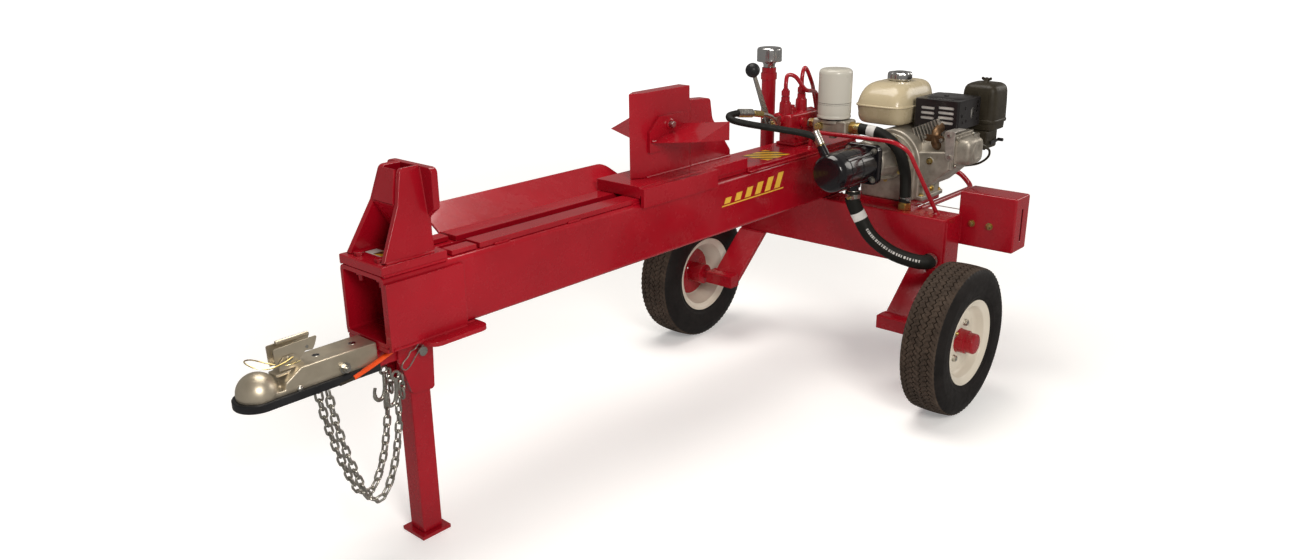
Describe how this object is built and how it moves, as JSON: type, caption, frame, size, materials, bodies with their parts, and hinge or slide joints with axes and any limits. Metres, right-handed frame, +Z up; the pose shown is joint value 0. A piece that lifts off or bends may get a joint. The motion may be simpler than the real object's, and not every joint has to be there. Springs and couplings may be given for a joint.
{
  "type": "log splitter",
  "caption": "Towed hydraulic log splitter: tube beam with a fixed foot, sliding wedge, small engine with gear pump, two road wheels, ball coupler and a swinging front leg.",
  "frame": {"origin": "middle of the footprint box, on the ground", "axes": "+X along the beam from the coupler toward the engine, +Y toward the log cradle side, +Z up"},
  "size_m": [2.3834, 1.063, 0.932],
  "materials": {
    "red_enamel": "glossy deep red enamel",
    "valve_iron": "cast iron painted with the same red enamel",
    "bright_steel": "bare bright steel",
    "zinc_plate": "zinc plate, slightly champagne",
    "coupler_bumper": "black strip",
    "chrome_cap": "polished",
    "cast_aluminium": "as cast",
    "pump_black": "black gloss paint",
    "muffler_black": "black gloss heat paint",
    "black_plastic": "moulded, slightly brown black",
    "fuel_tank_cream": "glossy cream",
    "filter_white": "off-white paint",
    "rim_white": "off-white enamel",
    "tyre_rubber": "matt black",
    "hose_rubber": "matt black"
  },
  "bodies": {
    "frame": {"air_cleaner": "black_plastic", "axle_arm_far": "red_enamel", "axle_arm_near": "red_enamel", "coupler_body": "zinc_plate", "coupler_trim": "coupler_bumper", "cylinder_barrel": "red_enamel", "engine_crankcase": "cast_aluminium", "engine_guard": "red_enamel", "filler_pipe": "red_enamel", "filter_canister": "filter_white", "filter_head": "cast_aluminium", "foot_base_plate": "red_enamel", "foot_gusset_far": "red_enamel", "foot_gusset_near": "red_enamel", "foot_push_plate": "red_enamel", "fuel_tank": "fuel_tank_cream", "gear_pump": "pump_black", "hitch_bracket": "red_enamel", "hoop_guard": "red_enamel", "ledge_plate": "red_enamel", "leg_pin": "bright_steel", "log_cradle": "red_enamel", "main_beam": "red_enamel", "muffler": "muffler_black", "oil_tank": "red_enamel", "pressure_hose": "hose_rubber", "pump_adapter": "cast_aluminium", "rear_cover": "red_enamel", "recoil_starter": "black_plastic", "return_hose": "hose_rubber", "rocker_cover": "cast_aluminium", "safety_chain_far": "zinc_plate", "safety_chain_near": "zinc_plate", "side_box": "red_enamel", "suction_hose": "hose_rubber", "valve_body": "valve_iron", "wear_strip_far": "red_enamel", "wear_strip_near": "red_enamel", "work_line_far": "red_enamel", "work_line_near": "red_enamel"},
    "wedge": {"wedge_carriage": "red_enamel", "wedge_blade": "red_enamel", "wing_near": "red_enamel", "wing_far": "red_enamel", "wing_pin": "bright_steel", "cylinder_rod": "bright_steel"},
    "wheel_near": {"wheel_hub_near": "red_enamel", "wheel_rim_near": "rim_white", "tyre_near": "tyre_rubber"},
    "wheel_far": {"wheel_hub_far": "red_enamel", "wheel_rim_far": "rim_white", "tyre_far": "tyre_rubber"},
    "leg": {"jack_leg": "red_enamel"},
    "latch": {"coupler_latch": "zinc_plate"},
    "valve_handle": {"valve_lever": "bright_steel", "lever_knob": "black_plastic"},
    "spool": {"valve_spool": "bright_steel"},
    "fuel_filler_cap": {"fuel_cap": "chrome_cap"},
    "breather": {"breather_cap": "chrome_cap"},
    "starter_grip": {"starter_handle": "black_plastic"}
  },
  "joints": [
    {"name": "wedge_stroke", "type": "slide", "parent": "frame", "child": "wedge", "axis": [-1, 0, 0], "range_m": [0, 0.58]},
    {"name": "wheel_near_spin", "type": "hinge", "parent": "frame", "child": "wheel_near", "pos_m": [0.544, -0.4625, 0.21], "axis": [0, 1, 0], "continuous": true},
    {"name": "wheel_far_spin", "type": "hinge", "parent": "frame", "child": "wheel_far", "pos_m": [0.544, 0.4625, 0.21], "axis": [0, 1, 0], "continuous": true},
    {"name": "leg_swing", "type": "hinge", "parent": "frame", "child": "leg", "pos_m": [-0.797, 0.1425, 0.448], "axis": [0, -1, 0], "range_deg": [0, 90]},
    {"name": "coupler_latch_lift", "type": "hinge", "parent": "frame", "child": "latch", "pos_m": [-1.081, 0.1425, 0.516], "axis": [0, -1, 0], "range_deg": [0, 60]},
    {"name": "valve_lever_tilt", "type": "hinge", "parent": "frame", "child": "valve_handle", "pos_m": [0.546, 0.1775, 0.738], "axis": [0, 1, 0], "range_deg": [-15, 15]},
    {"name": "spool_shift", "type": "slide", "parent": "frame", "child": "spool", "axis": [1, 0, 0], "range_m": [-0.008, 0.008]},
    {"name": "fuel_cap_turn", "type": "hinge", "parent": "frame", "child": "fuel_filler_cap", "pos_m": [0.936, -0.0375, 0.85], "axis": [0, 0, 1], "range_deg": [0, 90]},
    {"name": "breather_turn", "type": "hinge", "parent": "frame", "child": "breather", "pos_m": [0.755, 0.3275, 0.9], "axis": [0, 0, 1], "range_deg": [0, 90]},
    {"name": "starter_pull", "type": "slide", "parent": "frame", "child": "starter_grip", "axis": [0, 0.866, 0.5], "range_m": [0, 0.4], "stiffness_N_per_m": 20}
  ],
  "couplings": [
    {"joint": "spool_shift", "follows": "valve_lever_tilt", "m_per_rad": -0.0305}
  ]
}
